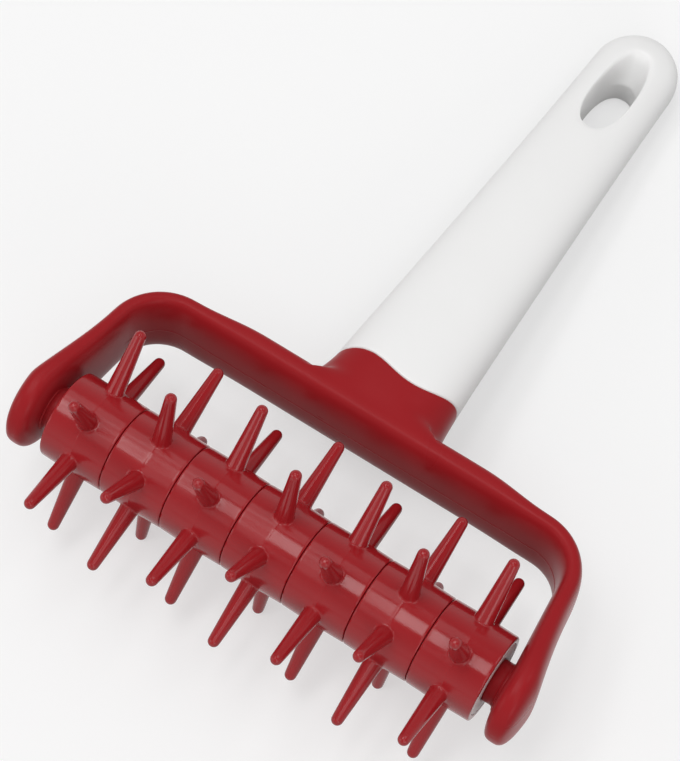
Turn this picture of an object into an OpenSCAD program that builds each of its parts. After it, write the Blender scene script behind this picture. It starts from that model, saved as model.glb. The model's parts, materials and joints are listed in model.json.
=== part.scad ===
// Dough docker: a roller of spiked rings that turns in a yoke with a handle.
// Units are millimetres. The tool lies on a table as it comes to rest by itself: on two rows of
// spikes and on the end of its handle. +X runs along the roller, +Y towards the handle's end.
// The yoke and the handle are drawn in the tool's own frame, with the axle on X and the handle
// on Y, and laid_down() then tips them until the handle's end meets the table.

/* [Spiked rings] */
// Width of one ring along the roller
ring_w = 15; // [12:0.5:18]
// Outer radius of a ring at its middle
ring_r = 10; // [9.6:0.1:11.5]
// How much smaller the radius is at a ring's edges, from the draft of the mould
ring_draft = 0.15; // [0.05:0.05:0.3]
// Chamfer on a ring's edges, which makes the groove between two rings
ring_edge = 0.35; // [0.2:0.05:0.6]
// Distance from the axle to the centre of a spike's round tip
spike_reach = 23.5; // [20:0.5:25]
// Radius of a spike where it leaves the ring
spike_base_r = 2.1; // [1.6:0.05:2.6]
// Radius of a spike's round tip
spike_tip_r = 1.3; // [0.8:0.05:1.5]

/* [Roller core] */
// Width across the flats of the six-sided core tube
core_flats = 13.6; // [12.8:0.1:14.2]
// Radius of the bore through the core tube
core_bore_r = 5.4; // [4.8:0.1:5.6]
// Gap between the core's flats and the rings, so that they slide on
core_clearance = 0.05; // [0.02:0.01:0.1]
// Width of the ring's rim that stays visible round an end cap
cap_inset = 1.1; // [0:0.05:1.3]
// Thickness of an end cap's flange, which lies flush in the end of its ring
cap_flange_t = 1.2; // [0.5:0.1:1.6]
// Length of an end cap's plug inside the core tube
cap_plug_l = 10; // [8:0.5:14]
// Gap round a cap's plug in the core tube and round its flange in the ring
cap_clearance = 0.05; // [0.02:0.01:0.1]

/* [Journals] */
// Radius of the journals that the roller turns on
journal_r = 3.4; // [2.8:0.1:3.8]
// Length of a journal beyond its shoulder
journal_l = 8; // [5:0.5:9]
// Chamfer on the end of a journal, for snapping it in
journal_lead = 0.8; // [0.3:0.1:1.2]
// Radial running clearance of a journal in its cap
journal_clearance = 0.08; // [0.04:0.01:0.1]
// Radius of the shoulder that carries a journal
shoulder_r = 4.8; // [4.4:0.1:5.4]
// Free play between a shoulder and its cap
end_float = 0.4; // [0.3:0.05:0.8]
// Length of a shoulder, from its face to the inner side of the arm
shoulder_l = 2.8; // [1:0.1:4]
// Size of the fillet where a shoulder meets its arm
shoulder_fillet = 0.8; // [0.2:0.1:1]

/* [Yoke] */
// Distance from the axle to the inner side of the crossbar
bar_inner_y = 30.6; // [28:0.2:40]
// Thickness of the crossbar
bar_t = 6.6; // [5:0.2:9]
// Height of the crossbar
bar_h = 18; // [14:0.5:20]
// Inner radius of the yoke's two bends
bend_r = 9; // [6:0.5:12]
// Thickness of an arm at its round end
arm_t = 7; // [5.6:0.2:9]
// Thickness of the yoke at its bends
bend_t = 4.8; // [4:0.2:6.6]
// Angle at which the arms lean inwards from their round ends to the bends
arm_lean = 6; // [2:0.5:9]
// Height of an arm at its round end
arm_h = 22; // [18:0.5:24]
// Squareness of the bar's section: 2 is an ellipse
bar_square = 3; // [2:0.2:5]

/* [Collar and tang] */
// How far the collar's foot spreads on each side where it leaves the crossbar
foot_spread = 3; // [1:0.5:5]
// Half width of the collar where it meets the handle
neck_hw = 14.2; // [13:0.5:16]
// Half thickness of the collar where it meets the handle
neck_ht = 9.3; // [8.6:0.1:11]
// Length of the collar at the longest part of its right side, beyond the crossbar
collar_l = 10.8; // [9:0.2:16]
// How far the middle of the collar's wavy edge lies short of that
edge_back = 2.8; // [2:0.1:4]
// Height of the wave in the edge, from trough to crest
wave_h = 3.6; // [1:0.2:4]
// Distance from the crest of the wave to the middle of the collar
crest_x = 9.2; // [6:0.2:12]
// How far the edge climbs from the middle to each side, on top of the wave
edge_climb = 1.8; // [0:0.1:3]
// Width of the tang inside the handle
tang_w = 16; // [12:0.5:17]
// Thickness of the tang
tang_t = 8; // [6:0.5:9]
// Length of the tang beyond the collar
tang_l = 52; // [30:1:60]
// Gap around the tang in the handle
tang_clearance = 0.1; // [0.05:0.05:0.2]

/* [Handle] */
// Length of the handle beyond the collar's sides
grip_l = 112; // [105:0.5:130]
// Half width of the handle near its end
end_hw = 10.2; // [9.8:0.1:12.5]
// Half thickness of the handle near its end
end_ht = 6.8; // [5.5:0.1:8]
// Squareness of the handle's section: 2 is an ellipse
grip_square = 2.5; // [2:0.1:3.5]

/* [Hang slot] */
// Width of the hang slot
slot_w = 9.6; // [6:0.2:10.4]
// Length of the hang slot
slot_l = 21.4; // [16:0.2:26]
// Distance from the slot's far end to the end of the handle
slot_margin = 12.4; // [9:0.2:18]
// Lean of the scoop at the slot's far end
scoop_lean = 32; // [20:1:50]
// Height over the handle's middle at which the scoop starts
scoop_z = -1; // [-2:0.1:3]

/* [Hidden] */
$fn = 64;
red = [0.62, 0.09, 0.12];
white = [0.93, 0.93, 0.92];

// The roller has seven rings with six spikes each, as the core has six sides
ring_count = 7;
spike_count = 6;
roller_l = ring_count * ring_w;
ring_face_r = ring_r - ring_draft - ring_edge;
spike_sink = 0.5;
// Neighbouring rings stand half a spike spacing apart, so two rows share the weight
stance_angle = 90 / spike_count;
core_phase = 270;
cap_face_x = roller_l / 2;
cap_seat_x = cap_face_x - cap_flange_t;
cap_r = ring_face_r - cap_inset;
// A shoulder reaches into a shallow hollow in its cap's face
cap_floor_x = cap_face_x - cap_flange_t / 2;
cap_hollow_r = shoulder_r + 2 * journal_clearance;
shoulder_x = cap_floor_x + end_float;
arm_inner_x = shoulder_x + shoulder_l;
cap_bore_r = journal_r + journal_clearance;
cap_mouth = 0.5;

// The yoke's inner side runs up an arm, round a bend and along the crossbar
bend_y = bar_inner_y - bend_r;
arm_top_y = bend_y + bend_r * sin(arm_lean);
bend_x = arm_inner_x - arm_top_y * tan(arm_lean) - bend_r * cos(arm_lean);
// How far the crossbar takes from a bend to reach its full thickness
swell_l = 16;
bar_y = bar_inner_y + bar_t / 2;
bar_outer_y = bar_inner_y + bar_t;
collar_y = bar_outer_y + collar_l;
handle_end_y = collar_y + grip_l;
// Where the handle's rounded end begins
end_start_y = handle_end_y - end_hw;
// The wave that divides collar and handle is drawn in this many steps
edge_steps = 28;
taper_power = 1.3;
section_steps = 32;
scoop_inset = 0.3;
slot_far_y = handle_end_y - slot_margin - slot_w / 2;
slot_near_y = handle_end_y - slot_margin - slot_l + slot_w / 2;

// The tips of the lowest spikes set the axle's height over the table
axle_h = spike_reach * cos(stance_angle) + spike_tip_r;
tilt = settle(0, 15, 24);
foot_y = axle_h;
handle_reach = max([for (y = end_ys()) y * cos(tilt) + half_t(y) * sin(tilt)]);
// The origin is under the middle of the tool's length
mid_y = (handle_reach - foot_y) / 2;

function end_ys() = [for (a = [0:5:90]) end_start_y + end_hw * sin(a)];
// How far below the axle the handle's end hangs when the tool is tipped by an angle
function end_drop(angle) = max([for (y = end_ys()) y * sin(angle) + half_t(y) * cos(angle)]);
// The tilt at which the handle's end just meets the table, found by halving
function settle(low, high, steps) =
    let (mid = (low + high) / 2)
    steps == 0 ? mid
    : end_drop(mid) < axle_h ? settle(mid, high, steps - 1) : settle(low, mid, steps - 1);

// Share of the handle's taper that is still left at a distance along it
function taper_left(y) = pow(max(0, (end_start_y - max(y, collar_y)) / (end_start_y - collar_y)), taper_power);
// Cosine of the angle round the handle's end
function end_cos(y) = sqrt(max(0, 1 - pow(max(0, y - end_start_y) / end_hw, 2)));
// Distance from the axle to the wavy edge at a place across the collar
function edge_y(x) = collar_y - edge_back + edge_climb * x / neck_hw
    + wave_h / 2 * cos(180 * (x + crest_x) / neck_hw);
// Share of the foot's spread that is left at a distance from the crossbar
function foot_left(y) = pow(max(0, 1 - (y - bar_y) / (collar_y - bar_y)), 2);
function half_w(y) = (end_hw + (neck_hw - end_hw) * taper_left(y)) * end_cos(y) + foot_spread * foot_left(y);
function half_t(y) = (end_ht + (neck_ht - end_ht) * taper_left(y)) * pow(end_cos(y), 0.5)
    + (bar_h / 2 - neck_ht) * foot_left(y);

function signed_pow(v, p) = sign(v) * pow(abs(v), p);
// Points of a rounded section with half sizes a and b; squareness 2 gives an ellipse
function section(a, b, square) = [for (i = [0:section_steps - 1])
    let (t = 360 * (i + 0.5) / section_steps)
    [a * signed_pow(cos(t), 2 / square), b * signed_pow(sin(t), 2 / square)]];
function smooth(u) = u * u * (3 - 2 * u);
function mix(from, to, u) = from + (to - from) * u;

// One station of a sweep: its centre, the direction of its first half size, and its section
function station(centre, side, a, b, square) = [for (p = section(a, b, square))
    centre + p[0] * side + [0, 0, p[1]]];
// Stations of the right half of the yoke, each given by its point on the yoke's inner side
function yoke_station(x, y, turn, t, h) = let (out = [cos(turn), sin(turn), 0])
    station([x, y, 0] + out * t / 2, out, t / 2, h / 2, bar_square);
function arm_end() = [for (a = [84, 72, 60, 48, 36, 24, 12])
    let (t = arm_t * pow(cos(a), 0.55))
    yoke_station(arm_inner_x + (arm_t - t) / 2, -arm_h / 2 * sin(a), 0, t, arm_h * cos(a))];
function arm_side() = [for (i = [0:6])
    let (u = i / 7, y = arm_top_y * u, lean = arm_lean * u)
    yoke_station(arm_inner_x - y * tan(arm_lean), y, lean, mix(arm_t, bend_t, sin(90 * u)),
        mix(arm_h, bar_h, smooth(u)))];
function bend() = [for (i = [0:8])
    let (a = mix(arm_lean, 90, i / 8))
    yoke_station(bend_x + bend_r * cos(a), bend_y + bend_r * sin(a), a, bend_t, bar_h)];
function bar_swell() = [for (i = [1:4])
    let (u = i / 4)
    yoke_station(bend_x - swell_l * u, bar_inner_y, 90, mix(bend_t, bar_t, smooth(u)), bar_h)];
function half_yoke() = concat(arm_end(), arm_side(), bend(), bar_swell());
function mirrored(stations) = [for (i = [len(stations) - 1:-1:0])
    [for (j = [0:section_steps - 1])
        let (p = stations[i][j]) [-p[0], p[1], p[2]]]];

// A closed skin over a list of stations
module skin(stations) {
    last = len(stations) - 1;
    sides = [for (i = [0:last - 1], j = [0:section_steps - 1])
        let (k = (j + 1) % section_steps, a = i * section_steps, b = a + section_steps)
        [a + j, a + k, b + k, b + j]];
    caps = [[for (j = [section_steps - 1:-1:0]) j],
        [for (j = [0:section_steps - 1]) last * section_steps + j]];
    polyhedron(points = [for (s = stations, p = s) p], faces = concat(sides, caps), convexity = 6);
}

// Puts what is drawn about the axle at its place over the table
module on_axle() {
    translate([0, -mid_y, axle_h]) children();
}

// Tips the yoke and handle about the axle until the handle's end meets the table
module laid_down() {
    on_axle() rotate([-tilt, 0, 0]) children();
}

// A cylinder along X from one place to another
module x_cylinder(x0, x1, r0, r1) {
    translate([x0, 0, 0]) rotate([0, 90, 0]) cylinder(h = x1 - x0, r1 = r0, r2 = r1);
}

// The six-sided bar that the core tube is made from, or the hole for it
module core_bar(length, gap) {
    corner_r = (core_flats / 2 + gap) / cos(180 / spike_count);
    rotate([core_phase, 0, 0]) rotate([0, 90, 0]) rotate([0, 0, 90])
        cylinder(h = length, r = corner_r, center = true, $fn = spike_count);
}

module spike() {
    length = spike_reach - ring_r + spike_sink;
    translate([0, ring_r - spike_sink, 0]) rotate([-90, 0, 0]) {
        cylinder(h = length, r1 = spike_base_r, r2 = spike_tip_r);
        translate([0, 0, length]) sphere(r = spike_tip_r);
    }
}

// All seven rings are the same moulding. Its spikes stand off the core's corners by a quarter
// of their spacing, so every other ring, put on the other way round, has them in the gaps.
// Both its ends are hollowed for the flange of an end cap.
module spike_ring(number) {
    turn = number % 2 == 1 ? stance_angle : -stance_angle;
    color(red) on_axle() translate([(number - (ring_count + 1) / 2) * ring_w, 0, 0]) {
        difference() {
            rotate([0, 90, 0]) rotate_extrude() polygon([[0, -ring_w / 2], [ring_face_r, -ring_w / 2],
                [ring_face_r + ring_edge, ring_edge - ring_w / 2], [ring_r, 0],
                [ring_face_r + ring_edge, ring_w / 2 - ring_edge], [ring_face_r, ring_w / 2],
                [0, ring_w / 2]]);
            core_bar(ring_w + 1, core_clearance);
            for (side = [0, 1])
                mirror([side, 0, 0])
                    x_cylinder(ring_w / 2 - cap_flange_t, ring_w / 2 + 1, cap_r + cap_clearance,
                        cap_r + cap_clearance);
        }
        for (i = [0:spike_count - 1])
            rotate([core_phase + turn + 360 * i / spike_count, 0, 0]) spike();
    }
}

module core_tube() {
    color(white) on_axle() difference() {
        core_bar(2 * cap_seat_x, 0);
        x_cylinder(-roller_l, roller_l, core_bore_r, core_bore_r);
    }
}

// The cap on the roller's right end; the left one is its mirror image
module end_cap() {
    plug_x = cap_seat_x - cap_plug_l;
    difference() {
        union() {
            x_cylinder(cap_seat_x, cap_face_x, cap_r, cap_r);
            x_cylinder(plug_x, cap_seat_x, core_bore_r - cap_clearance, core_bore_r - cap_clearance);
        }
        x_cylinder(plug_x - 1, cap_face_x, cap_bore_r, cap_bore_r);
        x_cylinder(cap_floor_x - cap_mouth, cap_floor_x, cap_bore_r, cap_bore_r + cap_mouth);
        x_cylinder(cap_floor_x, cap_face_x + 1, cap_hollow_r, cap_hollow_r);
    }
}

module end_cap_right() {
    color(white) on_axle() end_cap();
}

module end_cap_left() {
    color(white) on_axle() mirror([1, 0, 0]) end_cap();
}

// A journal with its shoulder, on the inner side of the right arm
module journal() {
    tip_x = shoulder_x - journal_l;
    x_cylinder(shoulder_x, arm_inner_x + arm_t / 2, shoulder_r, shoulder_r);
    x_cylinder(arm_inner_x - shoulder_fillet, arm_inner_x, shoulder_r, shoulder_r + shoulder_fillet);
    x_cylinder(arm_inner_x, arm_inner_x + arm_t / 2, shoulder_r + shoulder_fillet, shoulder_r + shoulder_fillet);
    x_cylinder(tip_x + journal_lead, shoulder_x, journal_r, journal_r);
    x_cylinder(tip_x, tip_x + journal_lead, journal_r - journal_lead, journal_r);
}

// Everything below the wavy edge that divides the collar from the handle
module below_edge() {
    side_x = neck_hw + foot_spread;
    edge = [for (i = [0:edge_steps])
        let (x = side_x * (2 * i / edge_steps - 1)) [x, edge_y(x)]];
    translate([0, 0, -foot_y]) linear_extrude(2 * foot_y) polygon(concat([[side_x, 0], [-side_x, 0]], edge));
}

// The tapering body that the collar and the handle share, between two distances from the axle
module stem(ys) {
    skin([for (y = ys) station([0, y, 0], [1, 0, 0], half_w(y), half_t(y), grip_square)]);
}

// The tang, or the socket for it when gap is above zero
module tang(gap) {
    from_y = bar_y;
    translate([-tang_w / 2 - gap, from_y, -tang_t / 2 - gap])
        cube([tang_w + 2 * gap, collar_y + tang_l - from_y + gap, tang_t + 2 * gap]);
}

module yoke() {
    color(red) laid_down() {
        skin(concat(half_yoke(), mirrored(half_yoke())));
        journal();
        mirror([1, 0, 0]) journal();
        intersection() {
            stem([for (i = [0:6]) bar_y + (collar_y - bar_y) * i / 6]);
            below_edge();
        }
        tang(0);
    }
}

// The hang slot, with a scoop at its far end on the upper face
module hang_slot() {
    depth = 3 * neck_ht;
    translate([0, 0, -depth / 2]) linear_extrude(depth) {
        for (y = [slot_near_y, slot_far_y]) translate([0, y]) circle(r = slot_w / 2);
        translate([-slot_w / 2, slot_near_y]) square([slot_w, slot_far_y - slot_near_y]);
    }
    translate([0, slot_far_y, scoop_z]) rotate([-scoop_lean, 0, 0])
        cylinder(h = depth, r = slot_w / 2 - scoop_inset);
}

module handle_grip() {
    grip_start_y = collar_y - edge_back - wave_h / 2 - edge_climb;
    round_ys = [for (a = [12:12:84]) end_start_y + end_hw * sin(a)];
    color(white) laid_down() difference() {
        stem(concat([for (i = [0:12]) grip_start_y + (end_start_y - grip_start_y) * i / 12], round_ys));
        below_edge();
        tang(tang_clearance);
        hang_slot();
    }
}

handle_grip();
yoke();
core_tube();
end_cap_left();
end_cap_right();
spike_ring(1);  // spike_ring_1
spike_ring(2);  // spike_ring_2
spike_ring(3);  // spike_ring_3
spike_ring(4);  // spike_ring_4
spike_ring(5);  // spike_ring_5
spike_ring(6);  // spike_ring_6
spike_ring(7);  // spike_ring_7
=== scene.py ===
import json
import math

import bmesh
import bpy
from mathutils import Matrix, Vector


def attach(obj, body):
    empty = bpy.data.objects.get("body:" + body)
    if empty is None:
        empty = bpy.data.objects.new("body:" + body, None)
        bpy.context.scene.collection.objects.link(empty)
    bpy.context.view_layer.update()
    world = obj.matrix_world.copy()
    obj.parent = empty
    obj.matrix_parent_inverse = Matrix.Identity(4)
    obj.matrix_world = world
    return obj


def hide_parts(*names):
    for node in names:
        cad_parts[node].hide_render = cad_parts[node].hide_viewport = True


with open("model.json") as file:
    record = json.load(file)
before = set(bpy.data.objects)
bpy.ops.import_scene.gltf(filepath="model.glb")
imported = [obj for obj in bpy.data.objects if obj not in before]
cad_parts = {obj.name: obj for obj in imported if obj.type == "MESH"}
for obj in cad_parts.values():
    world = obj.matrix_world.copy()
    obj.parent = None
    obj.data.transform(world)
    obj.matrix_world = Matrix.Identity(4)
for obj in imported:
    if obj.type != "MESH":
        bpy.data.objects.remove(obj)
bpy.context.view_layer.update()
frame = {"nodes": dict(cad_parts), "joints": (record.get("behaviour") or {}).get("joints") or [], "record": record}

# A dough docker. Its pieces are shaped in millimetres in the tool's own frame, with the axle on X
# and the handle on Y, and are then laid down on the table, in metres.

MM = 0.001
AXLE = Vector(frame["joints"][0]["pos_m"])
slot_axis = frame["record"]["mounts"][0]["axis"]
TILT = math.atan2(slot_axis[1], slot_axis[2])

# Rings. HALF_W is half a width, HOLE_HALF_W that of the openings where the spikes grow out.
RING_W, RING_R, RING_DRAFT = 15, 10, 0.15
RING_HALF_W, RING_EDGE, HOLE_HALF_W = 7.45, 0.35, 3.5
SPIKE_FOOT_Z, SPIKE_REACH, SPIKE_BASE_R, SPIKE_TIP_R, SPIKE_FILLET = 9.5, 23.5, 2.1, 1.3, 0.3
RING_COUNT, SPIKE_COUNT = 7, 6
SPIKE_STEP = 2 * math.pi / SPIKE_COUNT
SEAM_HALF_W, SEAM_HEIGHT = 0.09, 0.04

# Caps and journals
CAP_SEAT_X, CAP_FACE_X, CAP_FLOOR_X = 51.32, 52.42, 51.9
SHOULDER_X, JOURNAL_TIP_X = 52.3, 44.3

# Yoke. SQUARE is how far a rounded section goes from an oval, 2, towards a box.
ARM_INNER_X, ARM_T, ARM_H, ARM_LEAN, ARM_TOP_Y = 55.1, 7, 22, math.radians(6), 22.54
ARM_END_ANGLE = 86
BEND_X, BEND_Y, BEND_R, BEND_T = 43.78, 21.6, 9, 4.8
BAR_INNER_Y, BAR_T, BAR_H, BAR_SQUARE, SWELL_L = 30.6, 6.6, 18, 3, 16
BAR_Y = BAR_INNER_Y + BAR_T / 2
PARTING_Z, PARTING_HALF_W, PARTING_HEIGHT = -1, 0.12, 0.07

# Collar and handle. FOOT is where the collar grows out of the crossbar.
COLLAR_Y, NECK_HW, NECK_HT, FOOT_X, FOOT_SPREAD, COLLAR_START_Y = 48, 14.2, 9.3, 16.8, 3, 40
EDGE_BACK, WAVE_H, CREST_X, EDGE_CLIMB = 2.8, 3.6, 9.2, 1.8
EDGE_Y = COLLAR_Y - EDGE_BACK
HANDLE_END_Y, END_HW, END_HT, GRIP_SQUARE, GRIP_POINTS = 160, 10.2, 6.8, 2.5, 64
END_START_Y = HANDLE_END_Y - END_HW
SLOT_MIDDLE_Y, SLOT_HALF_L, SLOT_HALF_W, SLOT_SQUARE, SLOT_POINTS = 137.0, 10.6, 4.72, 2.3, 64
SCOOP_Z, SCOOP_LEAN = -1, math.radians(32)
SLOT_ROW_Y, SLOT_ROW = 122.2, 1.8


# Hand tools: what is in hand is one piece in edit mode, and its picked points move together.

def take_up(piece):
    bpy.ops.object.select_all(action="DESELECT")
    piece.select_set(True)
    bpy.context.view_layer.objects.active = piece
    bpy.ops.object.mode_set(mode="EDIT")
    bpy.ops.mesh.select_mode(type="VERT")


def put_down():
    bpy.ops.object.mode_set(mode="OBJECT")


def in_hand():
    mesh = bmesh.from_edit_mesh(bpy.context.edit_object.data)
    mesh.verts.index_update()
    return mesh


def in_hand_at(n):
    mesh = in_hand()
    mesh.verts.ensure_lookup_table()
    return mesh.verts[n].co.copy()


def pick(test):
    """Picks the points that pass the test, and leaves the others."""
    mesh = in_hand()
    chosen = [v for v in mesh.verts if test(v)]
    bpy.ops.mesh.select_all(action="DESELECT")
    for v in chosen:
        v.select_set(True)
    mesh.select_flush_mode()
    bmesh.update_edit_mesh(bpy.context.edit_object.data)


def pick_faces(test):
    bpy.ops.mesh.select_mode(type="FACE")
    mesh = in_hand()
    chosen = [f for f in mesh.faces if test(f.calc_center_median())]
    bpy.ops.mesh.select_all(action="DESELECT")
    for f in chosen:
        f.select_set(True)
    mesh.select_flush_mode()
    bmesh.update_edit_mesh(bpy.context.edit_object.data)


def pick_rims(test):
    """Picks the open rims whose points pass the test."""
    bpy.ops.mesh.select_mode(type="EDGE")
    mesh = in_hand()
    chosen = [e for e in mesh.edges if e.is_boundary and all(test(v.co) for v in e.verts)]
    bpy.ops.mesh.select_all(action="DESELECT")
    for e in chosen:
        e.select_set(True)
    mesh.select_flush_mode()
    bmesh.update_edit_mesh(bpy.context.edit_object.data)


def slide(x=0.0, y=0.0, z=0.0):
    bpy.ops.transform.translate(value=(x, y, z))


def size(x, y, z, about=(0, 0, 0)):
    bpy.ops.transform.resize(value=(x, y, z), center_override=about)


def turn(angle, axis, about=(0, 0, 0)):
    bpy.ops.transform.rotate(value=-angle, orient_axis=axis, center_override=about)


def draw_out(x=0.0, y=0.0, z=0.0):
    bpy.ops.mesh.extrude_region_move(TRANSFORM_OT_translate={"value": (x, y, z)})


def nudge(key, amount):
    """Slides the picked points group by group: those with the same key go by the same amount."""
    groups = {}
    for v in in_hand().verts:
        if v.select:
            groups.setdefault(key(v.co), set()).add(v.index)
    for k in groups:
        pick(lambda v: v.index in groups[k])
        slide(*amount(k))
    everything = set().union(*groups.values())
    pick(lambda v: v.index in everything)


def nudge_to(place):
    """Slides each picked point to its place."""
    picked = {v.index: place(v.co) - v.co for v in in_hand().verts if v.select}
    for n, way in picked.items():
        if way.length > 1e-5:
            pick(lambda v: v.index == n)
            slide(*way)
    pick(lambda v: v.index in picked)


def squared_ring(points, squareness):
    """Adds a ring across Y, of half size 1, with its corners pushed out from a circle."""
    bpy.ops.mesh.select_all(action="DESELECT")
    bpy.ops.mesh.primitive_circle_add(vertices=points, radius=1, rotation=(math.pi / 2, 0, 0))
    groups = {}
    for v in in_hand().verts:
        if v.select:
            angle = math.degrees(math.atan2(abs(v.co.z), abs(v.co.x)))
            groups.setdefault(round(min(angle, 90 - angle), 2), set()).add(v.index)
    for angle in groups:
        c, s = math.cos(math.radians(angle)), math.sin(math.radians(angle))
        out = (c ** squareness + s ** squareness) ** (-1 / squareness)
        pick(lambda v: v.index in groups[angle])
        size(out, out, out)
    everything = set().union(*groups.values())
    pick(lambda v: v.index in everything)


def draw_through(stations):
    """Draws the ring in hand through stations: each is its centre, its turn about Z, and the
    ring's half width and half height there, and may end with a move of its points in groups."""
    centre, angle, wide, high = Vector(), 0, 1, 1
    for i, station in enumerate(stations):
        to, to_angle, to_wide, to_high = station[:4]
        if i:
            draw_out(*(to - centre))
        else:
            slide(*(to - centre))
        if angle:
            turn(-angle, "Z", to)
        size(to_wide / wide, 1, to_high / high, to)
        if to_angle:
            turn(to_angle, "Z", to)
        if len(station) > 4:
            nudge(*station[4])
        centre, angle, wide, high = to, to_angle, to_wide, to_high


def close_end(test):
    """Closes the flat open end whose points pass the test, with a smaller loop inside it."""
    pick(test)
    picked = [v.co.copy() for v in in_hand().verts if v.select]
    middle = sum(picked, Vector()) / len(picked)
    draw_out()
    size(0.5, 0.5, 0.5, middle)
    bpy.ops.mesh.edge_face_add()
    bpy.ops.mesh.poke()


def with_modifier(piece, kind, **settings):
    bpy.ops.object.select_all(action="DESELECT")
    piece.select_set(True)
    bpy.context.view_layer.objects.active = piece
    modifier = piece.modifiers.new(kind.title(), kind)
    for name, value in settings.items():
        setattr(modifier, name, value)
    bpy.ops.object.modifier_apply(modifier=modifier.name)


def rounded(piece, levels):
    with_modifier(piece, "SUBSURF", levels=levels, render_levels=levels)


def face_outwards():
    """Turns every face of the piece in hand outwards."""
    bpy.ops.mesh.select_mode(type="VERT")
    bpy.ops.mesh.select_all(action="SELECT")
    bpy.ops.mesh.normals_make_consistent(inside=False)


def set_down(piece, lean):
    """Brings a piece to its place over the table, in metres."""
    bpy.ops.object.select_all(action="DESELECT")
    piece.select_set(True)
    bpy.context.view_layer.objects.active = piece
    piece.scale = (MM, MM, MM)
    piece.rotation_euler = (-lean, 0, 0)
    piece.location = AXLE
    bpy.ops.object.transform_apply(location=True, rotation=True, scale=True)
    bpy.ops.object.shade_smooth_by_angle(angle=math.radians(38))


def empty_piece(name):
    """A new piece with nothing in it yet, taken up in edit mode."""
    bpy.ops.object.select_all(action="DESELECT")
    bpy.ops.mesh.primitive_plane_add()
    piece = bpy.context.active_object
    piece.name = piece.data.name = name
    take_up(piece)
    bpy.ops.mesh.select_all(action="SELECT")
    bpy.ops.mesh.delete(type="VERT")
    return piece


def mix(a, b, share):
    return a + (b - a) * share


def smooth(share):
    return share * share * (3 - 2 * share)


# Plastics

def plastic(name, colour, roughness, mottle, grain_size, grain_height, ior):
    """Moulded plastic: faint flow marks in its colour and shine, and a fine grain."""
    made = bpy.data.materials.new(name)
    made.use_nodes = True
    nodes, links = made.node_tree.nodes, made.node_tree.links
    shader = nodes["Principled BSDF"]
    place = nodes.new("ShaderNodeTexCoord")
    flow = nodes.new("ShaderNodeTexNoise")
    flow.inputs["Scale"].default_value = 55
    flow.inputs["Detail"].default_value = 3
    flow.inputs["Distortion"].default_value = 0.6
    links.new(place.outputs["Object"], flow.inputs["Vector"])
    tint = nodes.new("ShaderNodeMix")
    tint.data_type = "RGBA"
    tint.inputs["A"].default_value = (*[c * (1 - mottle) for c in colour], 1)
    tint.inputs["B"].default_value = (*[min(1, c * (1 + mottle)) for c in colour], 1)
    links.new(flow.outputs["Fac"], tint.inputs["Factor"])
    links.new(tint.outputs["Result"], shader.inputs["Base Color"])
    shine = nodes.new("ShaderNodeMapRange")
    shine.inputs["From Min"].default_value = 0.3
    shine.inputs["From Max"].default_value = 0.7
    shine.inputs["To Min"].default_value = roughness * 0.88
    shine.inputs["To Max"].default_value = roughness * 1.12
    links.new(flow.outputs["Fac"], shine.inputs["Value"])
    links.new(shine.outputs["Result"], shader.inputs["Roughness"])
    grain = nodes.new("ShaderNodeTexNoise")
    grain.inputs["Scale"].default_value = 1 / grain_size
    grain.inputs["Detail"].default_value = 4
    links.new(place.outputs["Object"], grain.inputs["Vector"])
    bump = nodes.new("ShaderNodeBump")
    bump.inputs["Strength"].default_value = 1
    bump.inputs["Distance"].default_value = grain_height
    links.new(grain.outputs["Fac"], bump.inputs["Height"])
    links.new(bump.outputs["Normal"], shader.inputs["Normal"])
    shader.inputs["IOR"].default_value = ior
    return made


ring_plastic = plastic("ring_plastic", (0.34, 0.012, 0.016), 0.16, 0.05, 0.0016, 0.000004, 1.42)
yoke_plastic = plastic("yoke_plastic", (0.33, 0.014, 0.018), 0.30, 0.05, 0.0016, 0.000006, 1.2)
handle_plastic = plastic("handle_plastic", (0.92, 0.915, 0.91), 0.42, 0.01, 0.0012, 0.000006, 1.46)
core_plastic = plastic("core_plastic", (0.88, 0.875, 0.86), 0.38, 0.02, 0.0012, 0.000006, 1.46)


def dress(piece, material):
    piece.data.materials.clear()
    piece.data.materials.append(material)


# Yoke

def along_yoke():
    """Stations of the right half of the yoke, from its round end to the middle of the crossbar."""
    rows = []

    def at(x, y, angle, thick, high):
        out = Vector((math.cos(angle), math.sin(angle), 0))
        rows.append((Vector((x, y, 0)) + out * thick / 2, angle, thick / 2, high / 2))

    for degrees in (ARM_END_ANGLE, 80, 73, 66, 58, 50, 42, 34, 26, 17, 8):
        c, s = math.cos(math.radians(degrees)), math.sin(math.radians(degrees))
        thick = ARM_T * c ** 0.55
        at(ARM_INNER_X + (ARM_T - thick) / 2, -ARM_H / 2 * s, 0, thick, ARM_H * c)
    for i in range(10):
        u = i / 10
        at(ARM_INNER_X - ARM_TOP_Y * u * math.tan(ARM_LEAN), ARM_TOP_Y * u, ARM_LEAN * u,
           mix(ARM_T, BEND_T, math.sin(math.pi / 2 * u)), mix(ARM_H, BAR_H, smooth(u)))
    for i in range(15):
        angle = mix(ARM_LEAN, math.pi / 2, i / 14)
        c, s = math.cos(angle), math.sin(angle)
        at(BEND_X + BEND_R * c, BEND_Y + BEND_R * s, angle, BEND_T, BAR_H)
    for i in range(1, 7):
        thick = mix(BEND_T, BAR_T, smooth(i / 6))
        at(BEND_X - SWELL_L * i / 6, BAR_INNER_Y, math.pi / 2, thick, BAR_H)
    for x in (25.2, 22.4, 19.6):
        at(x, BAR_INNER_Y, math.pi / 2, BAR_T, BAR_H)
    for i in range(8, -1, -1):
        at(FOOT_X * i / 8, BAR_INNER_Y, math.pi / 2, BAR_T, BAR_H)
    return rows


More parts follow.
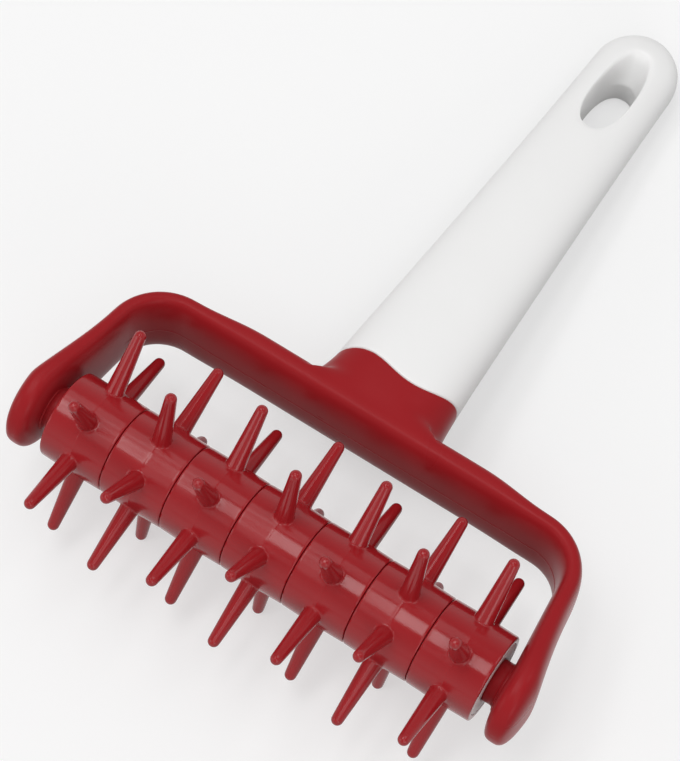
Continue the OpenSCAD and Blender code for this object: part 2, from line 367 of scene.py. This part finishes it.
def taper_left(y):
    """The share of the handle's taper that is left at a distance from the axle."""
    if y >= END_START_Y:
        return 0
    return ((END_START_Y - max(y, COLLAR_Y)) / (END_START_Y - COLLAR_Y)) ** 1.3


def end_cos(y):
    """How the handle's round end closes in, from 1 where it starts to 0 at its tip."""
    return math.sqrt(max(0, 1 - (max(0, y - END_START_Y) / END_HW) ** 2))


def foot_left(y):
    """The share of the collar's flared foot that is left."""
    return max(0, 1 - (y - BAR_Y) / (COLLAR_Y - BAR_Y)) ** 2


def stem_w(y):
    """Half the width of collar and handle."""
    return (END_HW + (NECK_HW - END_HW) * taper_left(y)) * end_cos(y) + FOOT_SPREAD * foot_left(y)


def stem_t(y):
    """Half the thickness of collar and handle."""
    stem = (END_HT + (NECK_HT - END_HT) * taper_left(y)) * end_cos(y) ** 0.5
    return stem + (BAR_H / 2 - NECK_HT) * foot_left(y)


def wave(x):
    """How far the wavy edge lies beyond its middle distance, at a place across the collar."""
    return EDGE_CLIMB * x / NECK_HW + WAVE_H / 2 * math.cos(math.pi * (x + CREST_X) / NECK_HW)


def stem_rows(rows):
    """Stations along the stem from (distance, share of the wave, inset) rows."""
    made, waved = [], False
    for y, share, inset in rows:
        row = [Vector((0, y, 0)), 0, stem_w(y) - inset, stem_t(y) - inset]
        if share or waved:
            row.append((lambda p: (round(p.x, 3), round(p.y, 3)),
                        lambda k, y=y, share=share: (0, y + share * wave(k[0]) - k[1], 0)))
        made.append(row)
        waved = share > 0
    return made


def make_yoke():
    piece = empty_piece("yoke_moulding")
    squared_ring(32, BAR_SQUARE)
    draw_through(along_yoke())
    tip_y = -ARM_H / 2 * math.sin(math.radians(ARM_END_ANGLE))
    close_end(lambda v: v.co.y < tip_y + 0.001)
    put_down()
    with_modifier(piece, "MIRROR", use_axis=(True, False, False), use_mirror_merge=True,
                  merge_threshold=0.01)
    take_up(piece)
    pick_faces(lambda c: abs(c.x) < FOOT_X and c.y > BAR_Y + 0.5)
    bpy.ops.mesh.delete(type="FACE")
    bpy.ops.mesh.select_mode(type="VERT")
    squared_ring(60, GRIP_SQUARE)
    lip = EDGE_Y - 0.25
    rows = [(COLLAR_START_Y, 0, 0), (41.2, 0.2, 0), (42.4, 0.45, 0), (43.6, 0.75, 0)]
    rows += [(lip - 0.4, 0.97, 0), (lip, 1, 0), (lip + 0.18, 1, 0.07), (lip + 0.25, 1, 0.25)]
    rows += [(lip + 0.18, 1, 0.42), (lip - 1.4, 1, 0.5)]
    draw_through(stem_rows(rows))
    pick_rims(lambda p: p.y < COLLAR_START_Y + 0.01)
    bpy.ops.mesh.bridge_edge_loops(number_cuts=4, interpolation="SURFACE", smoothness=1.0)
    pick_rims(lambda p: p.y > COLLAR_START_Y + 0.01)
    bpy.ops.mesh.edge_face_add()
    face_outwards()
    put_down()
    rounded(piece, 2)
    take_up(piece)
    for z in (PARTING_Z - PARTING_HALF_W, PARTING_Z, PARTING_Z + PARTING_HALF_W):
        bpy.ops.mesh.select_all(action="SELECT")
        bpy.ops.mesh.bisect(plane_co=(0, 0, z), plane_no=(0, 0, 1))
    pick(lambda v: abs(v.co.z - PARTING_Z) < 0.001 and inside_bar(v.co))
    bpy.ops.transform.shrink_fatten(value=PARTING_HEIGHT)
    put_down()
    return piece


def inside_bar(p):
    """Whether a point is on the inner side of the crossbar or of its bends."""
    if abs(p.x) < BEND_X:
        return p.y < BAR_INNER_Y + 0.3
    return p.y > BEND_Y and math.hypot(abs(p.x) - BEND_X, p.y - BEND_Y) < BEND_R + 0.3


def handle_surface(x, y):
    """Height of the handle's surface over its middle plane."""
    return stem_t(y) * (1 - (abs(x) / stem_w(y)) ** GRIP_SQUARE) ** (1 / GRIP_SQUARE)


def slot_levels():
    """Levels of the slot's wall from below to above: how far it is flared at its near end, its
    sides and its far end, how far the far end leans out, its depth below the handle's surface
    at the near and the far end, or its height, and which surface it is measured from."""
    lean = math.tan(SCOOP_LEAN)
    levels = [(o, o, o, 0, d, d, -1) for d, o in ((0, 0.6), (0.1, 0.28), (0.35, 0.07), (0.8, 0))]
    levels += [(0, 0, 0, max(0, z - SCOOP_Z) * lean, z, z, 0)
               for z in (-3.2, -1.5, -1.0, -0.6, 0.8, 2.4, 3.9)]
    levels += [(0, 0, 0, 3.72, 1.6, 1.7, 1), (0, 0.06, 0.18, 4.13, 0.5, 0.956, 1),
               (0.07, 0.2, 0.7, 4.3, 0.15, 0.425, 1), (0.18, 0.42, 1.45, 4.35, 0.04, 0.106, 1),
               (0.34, 0.75, 2.35, 4.4, 0, 0, 1)]
    return levels


def slot_wall():
    """Draws the slot's wall as a tube of loops inside the handle, open below and above."""
    middle, half_l, half_w, square = SLOT_MIDDLE_Y, SLOT_HALF_L, SLOT_HALF_W, SLOT_SQUARE
    squared_ring(SLOT_POINTS, square)
    turn(math.pi / 2, "X")
    size(half_w, half_l, 1)
    slide(y=middle)
    start = {}
    for v in in_hand().verts:
        if v.select:
            start[v.index] = v.co.copy()
    for k, (near_o, side_o, far_o, shift, near_d, far_d, side) in enumerate(slot_levels()):
        if k:
            before = [(in_hand_at(n), p) for n, p in start.items()]
            draw_out()
            start = {}
            for v in in_hand().verts:
                if v.select:
                    start[v.index] = min(before, key=lambda pair: (pair[0] - v.co).length)[1]
        for n, p in start.items():
            across, along = p.x / half_w, (p.y - middle) / half_l
            out = Vector((math.copysign(abs(across) ** (square - 1), across) / half_w,
                          math.copysign(abs(along) ** (square - 1), along) / half_l, 0)).normalized()
            share = max(0, along)
            flare = mix(side_o, far_o if along > 0 else near_o, abs(out.y) ** 1.5)
            x = p.x + out.x * flare
            y = p.y + out.y * flare + shift * share
            deep = mix(near_d, far_d, smooth((along + 1) / 2))
            z = side * (handle_surface(x, y) - deep) if side else deep
            pick(lambda v: v.index == n)
            slide(*(Vector((x, y, z)) - in_hand_at(n)))
        pick(lambda v: v.index in start)


def cut_slot():
    """Opens the handle below and above, and joins the slot's wall to both openings."""
    slot_wall()
    below, above = (-1, 8, 16), (1, 7, 18)
    for side, steps, rows in (below, above):
        near_y, far_y = SLOT_ROW_Y, SLOT_ROW_Y + rows * SLOT_ROW
        pick_faces(lambda c: c.z * side > 3 and near_y < c.y < far_y
                   and math.atan2(abs(c.x) / stem_w(c.y), abs(c.z) / stem_t(c.y))
                   < steps * 2 * math.pi / GRIP_POINTS
                   and abs(c.z) > handle_surface(c.x, c.y) - 0.3)
        bpy.ops.mesh.delete(type="FACE")
        pick_rims(lambda p: p.z * side > 3 and near_y - 0.5 < p.y < far_y + 0.5)
        bpy.ops.mesh.bridge_edge_loops(number_cuts=1, interpolation="LINEAR")
        bpy.ops.mesh.select_mode(type="VERT")
        nudge_to(lambda p: Vector((p.x, p.y, side * handle_surface(p.x, p.y))))


def make_handle():
    piece = empty_piece("handle")
    squared_ring(GRIP_POINTS, GRIP_SQUARE)
    rows = [(EDGE_Y - 1.2, 1, 0.75), (EDGE_Y + 0.02, 1, 0.55), (EDGE_Y + 0.14, 1, 0.22),
            (EDGE_Y + 0.34, 1, 0.05), (EDGE_Y + 0.6, 1, 0), (EDGE_Y + 1.4, 0.97, 0)]
    rows += [(EDGE_Y + 3 + 1.8 * i, 0.8 - 0.2 * i, 0) for i in range(5)]
    rows += [(56 + 4 * i, 0, 0) for i in range(17)]
    rows += [(SLOT_ROW_Y + SLOT_ROW * i, 0, 0) for i in range(19)]
    rows += [(END_START_Y + END_HW * math.sin(math.radians(degrees)), 0, 0)
             for degrees in (33, 39, 45, 51, 57, 63, 69, 75, 80, 85)]
    draw_through(stem_rows(rows))
    last = rows[-1][0]
    close_end(lambda v: v.co.y > last - 0.001)
    pick_rims(lambda p: True)
    bpy.ops.mesh.edge_face_add()
    bpy.ops.mesh.select_mode(type="VERT")
    cut_slot()
    face_outwards()
    put_down()
    rounded(piece, 1)
    return piece


# Roller

def lathed(points, rows):
    """Draws a ring about X through (place along X, radius) rows and joins its ends."""
    bpy.ops.mesh.select_all(action="DESELECT")
    at, wide = rows[0]
    bpy.ops.mesh.primitive_circle_add(vertices=points, radius=wide, location=(at, 0, 0),
                                      rotation=(0, math.pi / 2, 0))
    for x, r in rows[1:]:
        draw_out(x - at)
        size(1, r / wide, r / wide, (x, 0, 0))
        at, wide = x, r


def around_x(p):
    """How far a point is from the roller's axis."""
    return math.hypot(p.y, p.z)


def ring_surface(x):
    """The ring's radius at a place along its width."""
    return RING_R - RING_DRAFT * abs(x) / (RING_W / 2 - RING_EDGE)


def spike_r(z):
    return mix(SPIKE_BASE_R, SPIKE_TIP_R, (z - SPIKE_FOOT_Z) / (SPIKE_REACH - SPIKE_FOOT_Z))


def draw_spike():
    """Draws a spike up +Z through rows of height, radius and how much each follows the ring's
    round surface, which its foot does wholly and its tip not at all."""
    fillet = SPIKE_FILLET
    rows = [(RING_R + fillet * (1 - math.cos(a)), spike_r(RING_R) + fillet * (1 - math.sin(a)),
             1 - 0.2 * i) for i, a in enumerate(math.radians(degrees) for degrees in (0, 25, 50, 75))]
    rows += [(z, spike_r(z), bend) for z, bend in ((11, 0.25), (12.2, 0.08), (14.5, 0.02),
                                                   (17, 0.01), (19.5, 0.01), (21.8, 0.01))]
    rows += [(SPIKE_REACH + SPIKE_TIP_R * math.sin(a), SPIKE_TIP_R * math.cos(a), 0.01)
             for a in (math.radians(degrees) for degrees in (0, 17, 34, 50, 64, 77))]
    at, wide, bent = rows[0]
    bpy.ops.mesh.primitive_circle_add(vertices=32, radius=wide, location=(0, 0, at))
    nudge(lambda p: (round(abs(p.x), 3), round(abs(p.y), 3)),
          lambda k: (0, 0, math.sqrt(ring_surface(k[0]) ** 2 - k[1] ** 2) - RING_R))
    for z, r, bend in rows[1:]:
        draw_out(z=z - at)
        size(r / wide, r / wide, bend / bent, (0, 0, z))
        at, wide, bent = z, r, bend
    bpy.ops.mesh.edge_face_add()
    bpy.ops.mesh.poke()


def draw_ring_wall():
    """Draws the ring's wall, with a seat for the caps in both ends, and closes its bore."""
    seat = [(6.2, 7.95), (6.3, 8.0), (6.3, 8.2), (6.3, 8.4), (6.36, 8.46), (6.5, 8.46), (7.25, 8.46)]
    face = [(7.38, 8.48), (RING_HALF_W, 8.6), (RING_HALF_W, 9.2), (RING_HALF_W, 9.5),
            (RING_HALF_W - 0.05, 9.68), (RING_HALF_W - 0.17, 9.8)]
    outside = [(x, ring_surface(x)) for x in (7.12, 6.8, 5.8, 4.6)]
    side = seat + face + outside
    holes = [(x, ring_surface(x)) for x in (HOLE_HALF_W * k / 4 for k in range(-4, 5))]
    lathed(72, [(-x, r) for x, r in side] + holes + [(x, r) for x, r in reversed(side)])
    pick_rims(lambda p: around_x(p) < 8.5)
    bpy.ops.mesh.bridge_edge_loops()


def join_spike(angle):
    """Opens the ring's wall round a spike's foot, and joins the two along the opening."""
    out = Vector((0, math.cos(angle), math.sin(angle)))
    across = Vector((0, -math.sin(angle), math.cos(angle)))
    pick_faces(lambda c: abs(c.x) < HOLE_HALF_W and 9 < c.dot(out) < 10.2
               and abs(c.dot(across)) < 3.3 and around_x(c) < RING_R + 0.001
               and abs(math.atan2(c.dot(across), c.dot(out))) < math.radians(20))
    bpy.ops.mesh.delete(type="FACE")
    pick_rims(lambda p: p.dot(out) > 9 and abs(p.dot(across)) < 3.6 and abs(p.x) < 3.6)
    bpy.ops.mesh.bridge_edge_loops(number_cuts=1, interpolation="LINEAR")
    bpy.ops.mesh.select_mode(type="VERT")
    nudge_to(lambda p: Vector((p.x, *(Vector((p.y, p.z)).normalized() * ring_surface(p.x)))))


def make_ring():
    """One ring with its six spikes, the first of them on +Z."""
    piece = empty_piece("ring_moulding")
    draw_spike()
    for i in range(SPIKE_COUNT - 1):
        pick(lambda v: v.co.z > 9 and abs(v.co.y) < 3)
        bpy.ops.mesh.duplicate()
        turn(SPIKE_STEP * (i + 1), "X")
    draw_ring_wall()
    for i in range(SPIKE_COUNT):
        join_spike(math.pi / 2 + SPIKE_STEP * i)
    face_outwards()
    for x in (-SEAM_HALF_W, SEAM_HALF_W):
        bpy.ops.mesh.select_all(action="SELECT")
        bpy.ops.mesh.bisect(plane_co=(x, 0, 0), plane_no=(1, 0, 0))
    pick(lambda v: abs(v.co.x) < 0.001 and SPIKE_FOOT_Z < around_x(v.co) < SPIKE_REACH + 0.6)
    bpy.ops.transform.shrink_fatten(value=SEAM_HEIGHT)
    put_down()
    rounded(piece, 1)
    return piece


def make_cap():
    """The right end cap: a plug, and a flange that lies in the ring's end, with a hollow in it."""
    piece = empty_piece("cap_moulding")
    seat, face, floor = CAP_SEAT_X, CAP_FACE_X, CAP_FLOOR_X
    plug = [(46, 5.1), (seat - 0.3, 5.1), (seat - 0.08, 5.2), (seat, 5.6)]
    flange = [(seat, 8.1), (seat + 0.06, 8.3), (seat + 0.2, 8.38), (face - 0.2, 8.38),
              (face - 0.07, 8.33), (face, 8.2), (face, 6.8), (face, 5.25)]
    hollow = [(face - 0.06, 5.05), (face - 0.2, 4.97), (floor + 0.1, 4.96), (floor + 0.02, 4.9),
              (floor, 4.7), (floor, 4.0)]
    bore = [(floor - 0.06, 3.75), (floor - 0.25, 3.55), (floor - 0.6, 3.48), (46.2, 3.48)]
    lathed(96, plug + flange + hollow + bore)
    pick_rims(lambda p: True)
    bpy.ops.mesh.bridge_edge_loops()
    face_outwards()
    put_down()
    return piece


def make_journal():
    """The right journal: a pin that runs in the cap, its shoulder and a fillet into the arm."""
    piece = empty_piece("journal_moulding")
    shoulder, tip = SHOULDER_X, JOURNAL_TIP_X
    pin = [(tip, 1.2), (tip, 2.3), (tip + 0.1, 2.7), (tip + 0.8, 3.4), (tip + 1.4, 3.4),
           (shoulder - 0.5, 3.4), (shoulder - 0.06, 3.42), (shoulder, 3.5)]
    boss = [(shoulder, 4.5), (shoulder + 0.08, 4.7), (shoulder + 0.25, 4.8), (54.3, 4.8)]
    fillet = [(54.6, 4.86), (54.85, 5.06), (55.0, 5.3), (ARM_INNER_X, 5.7), (ARM_INNER_X + 0.5, 5.8)]
    lathed(64, pin + boss + fillet)
    pick_rims(lambda p: p.x < tip + 0.1)
    bpy.ops.mesh.edge_face_add()
    bpy.ops.mesh.select_mode(type="VERT")
    pick(lambda v: v.co.x > 55.5)
    bpy.ops.mesh.edge_face_add()
    face_outwards()
    put_down()
    return piece


def copy_of(piece, name):
    """A copy with a mesh of its own."""
    copied = piece.copy()
    copied.data = piece.data.copy()
    copied.name = copied.data.name = name
    bpy.context.scene.collection.objects.link(copied)
    return copied


def turned_over(piece):
    """Makes the left piece out of a copy of the right one."""
    take_up(piece)
    bpy.ops.mesh.select_all(action="SELECT")
    size(-1, 1, 1)
    bpy.ops.mesh.normals_make_consistent(inside=False)
    put_down()


yoke = make_yoke()
set_down(yoke, TILT)
dress(yoke, yoke_plastic)
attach(yoke, "frame")
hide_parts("yoke")

handle = make_handle()
set_down(handle, TILT)
dress(handle, handle_plastic)
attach(handle, "frame")
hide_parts("handle_grip")

journal = make_journal()
for name, mirrored in (("journal_right", False), ("journal_left", True)):
    piece = copy_of(journal, name)
    if mirrored:
        turned_over(piece)
    set_down(piece, 0)
    dress(piece, yoke_plastic)
    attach(piece, "frame")
bpy.data.objects.remove(journal)

cap = make_cap()
for name, mirrored in (("end_cap_right", False), ("end_cap_left", True)):
    piece = copy_of(cap, "white_" + name)
    if mirrored:
        turned_over(piece)
    set_down(piece, 0)
    dress(piece, core_plastic)
    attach(piece, "roller")
    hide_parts(name)
bpy.data.objects.remove(cap)

ring = make_ring()
for number in range(1, RING_COUNT + 1):
    piece = copy_of(ring, f"red_ring_{number}")
    take_up(piece)
    bpy.ops.mesh.select_all(action="SELECT")
    turn(SPIKE_STEP / 4 if number % 2 else -SPIKE_STEP / 4, "X")
    slide((number - (RING_COUNT + 1) / 2) * RING_W)
    put_down()
    set_down(piece, 0)
    dress(piece, ring_plastic)
    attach(piece, "roller")
    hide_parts(f"spike_ring_{number}")
bpy.data.objects.remove(ring)

dress(frame["nodes"]["core_tube"], core_plastic)


# Table, light and camera

LAY_DOWN = Matrix.Translation(AXLE) @ Matrix.Rotation(-TILT, 4, "X")


def table_top():
    """A plain pale table. It shows lighter than the darker grey that it throws back on the
    roller, and its shadows are lifted part of the way."""
    bpy.ops.object.select_all(action="DESELECT")
    bpy.ops.mesh.primitive_plane_add(size=12)
    top = bpy.context.active_object
    top.name = top.data.name = "table_top"
    made = bpy.data.materials.new("pale_table")
    made.use_nodes = True
    nodes, links = made.node_tree.nodes, made.node_tree.links
    pale = nodes["Principled BSDF"]
    pale.inputs["Base Color"].default_value = (0.93, 0.93, 0.93, 1)
    pale.inputs["Roughness"].default_value = 0.9
    pale.inputs["Specular IOR Level"].default_value = 0.1
    white = nodes.new("ShaderNodeEmission")
    lifted = nodes.new("ShaderNodeMixShader")
    lifted.inputs["Fac"].default_value = 0.5
    links.new(pale.outputs["BSDF"], lifted.inputs[1])
    links.new(white.outputs["Emission"], lifted.inputs[2])
    grey = nodes.new("ShaderNodeBsdfDiffuse")
    grey.inputs["Color"].default_value = (0.2, 0.2, 0.2, 1)
    rays = nodes.new("ShaderNodeLightPath")
    seen = rays.outputs["Is Camera Ray"]
    for kind in ("Is Glossy Ray", "Is Transmission Ray"):
        either = nodes.new("ShaderNodeMath")
        either.operation = "MAXIMUM"
        links.new(seen, either.inputs[0])
        links.new(rays.outputs[kind], either.inputs[1])
        seen = either.outputs["Value"]
    chosen = nodes.new("ShaderNodeMixShader")
    links.new(seen, chosen.inputs["Fac"])
    links.new(grey.outputs["BSDF"], chosen.inputs[1])
    links.new(lifted.outputs["Shader"], chosen.inputs[2])
    links.new(chosen.outputs["Shader"], nodes["Material Output"].inputs["Surface"])
    dress(top, made)


def studio_room():
    """Soft light from all round, strongest low down, and nearly dark overhead."""
    room = bpy.data.worlds.new("studio_room")
    bpy.context.scene.world = room
    room.use_nodes = True
    nodes, links = room.node_tree.nodes, room.node_tree.links
    way = nodes.new("ShaderNodeTexCoord")
    split = nodes.new("ShaderNodeSeparateXYZ")
    shade = nodes.new("ShaderNodeValToRGB")
    stops = shade.color_ramp.elements
    stops[0].position, stops[0].color = 0.02, (0.66, 0.66, 0.66, 1)
    stops[1].position, stops[1].color = 1, (0.08, 0.08, 0.08, 1)
    stops.new(0.12).color = (0.9, 0.9, 0.9, 1)
    links.new(way.outputs["Generated"], split.inputs["Vector"])
    links.new(split.outputs["Z"], shade.inputs["Fac"])
    links.new(shade.outputs["Color"], nodes["Background"].inputs["Color"])


def softbox(name, towards, wide, deep, brightness, away=1.6):
    """A softbox in a direction from the roller. Its width and depth are for a distance of 1."""
    out = Vector(towards).normalized()
    light = bpy.data.lights.new(name, "AREA")
    light.shape = "RECTANGLE"
    light.size, light.size_y = wide * away, deep * away
    light.energy = brightness * math.pi * light.size * light.size_y
    across = Vector((0, 1, 0)).cross(out).normalized()
    turned = Matrix((across, out.cross(across), out)).transposed().to_4x4()
    box = bpy.data.objects.new(name, light)
    box.matrix_world = LAY_DOWN @ Matrix.Translation(out * away) @ turned
    bpy.context.scene.collection.objects.link(box)


def stand_camera():
    """The camera stands as it stood for the photograph: its place in millimetres from the axle."""
    eye = Vector((114.07, -248.96, 504.48)) * MM
    ahead, up = Vector((-0.2096, 0.4869, -0.8479)), Vector((-0.5056, 0.6883, 0.5202))
    right = ahead.cross(up).normalized()
    facing = Matrix((right, right.cross(ahead).normalized(), -ahead.normalized())).transposed()
    camera = bpy.data.objects.new("camera", bpy.data.cameras.new("camera"))
    bpy.context.scene.collection.objects.link(camera)
    camera.matrix_world = LAY_DOWN @ Matrix.Translation(eye) @ facing.to_4x4()
    camera.data.sensor_width = 36
    camera.data.lens = 132.58
    camera.data.clip_start, camera.data.clip_end = 0.02, 20
    bpy.context.scene.camera = camera


table_top()
studio_room()
softbox("overhead", (-0.10, -0.25, 0.962), 0.17, 0.50, 5.2)
softbox("overhead_left", (-0.38, -0.25, 0.89), 0.14, 0.50, 4.7)
softbox("sheet_large", (-0.25, -0.48, 0.85), 0.10, 0.90, 0.4)
softbox("sheet_middle", (-0.25, -0.52, 0.82), 0.10, 0.65, 0.4)
softbox("sheet_small", (-0.25, -0.56, 0.79), 0.10, 0.40, 0.4)
softbox("low_right", (1, -1, 0.46), 0.4, 0.4, 2.3)
softbox("low_left", (-1, -1, 0.46), 0.4, 0.4, 1.6)
softbox("front_right", (0.33, -0.52, 0.79), 0.45, 0.5, 1.4)
softbox("back_right", (0.3, 0.3, 0.95), 0.4, 0.4, 1.9)
softbox("back_left", (-0.3, 0.3, 0.95), 0.4, 0.4, 1.2)
softbox("high_left", (-0.4, 0, 0.9), 0.4, 0.4, 1.3)
stand_camera()

bpy.context.scene.view_settings.view_transform = "Standard"
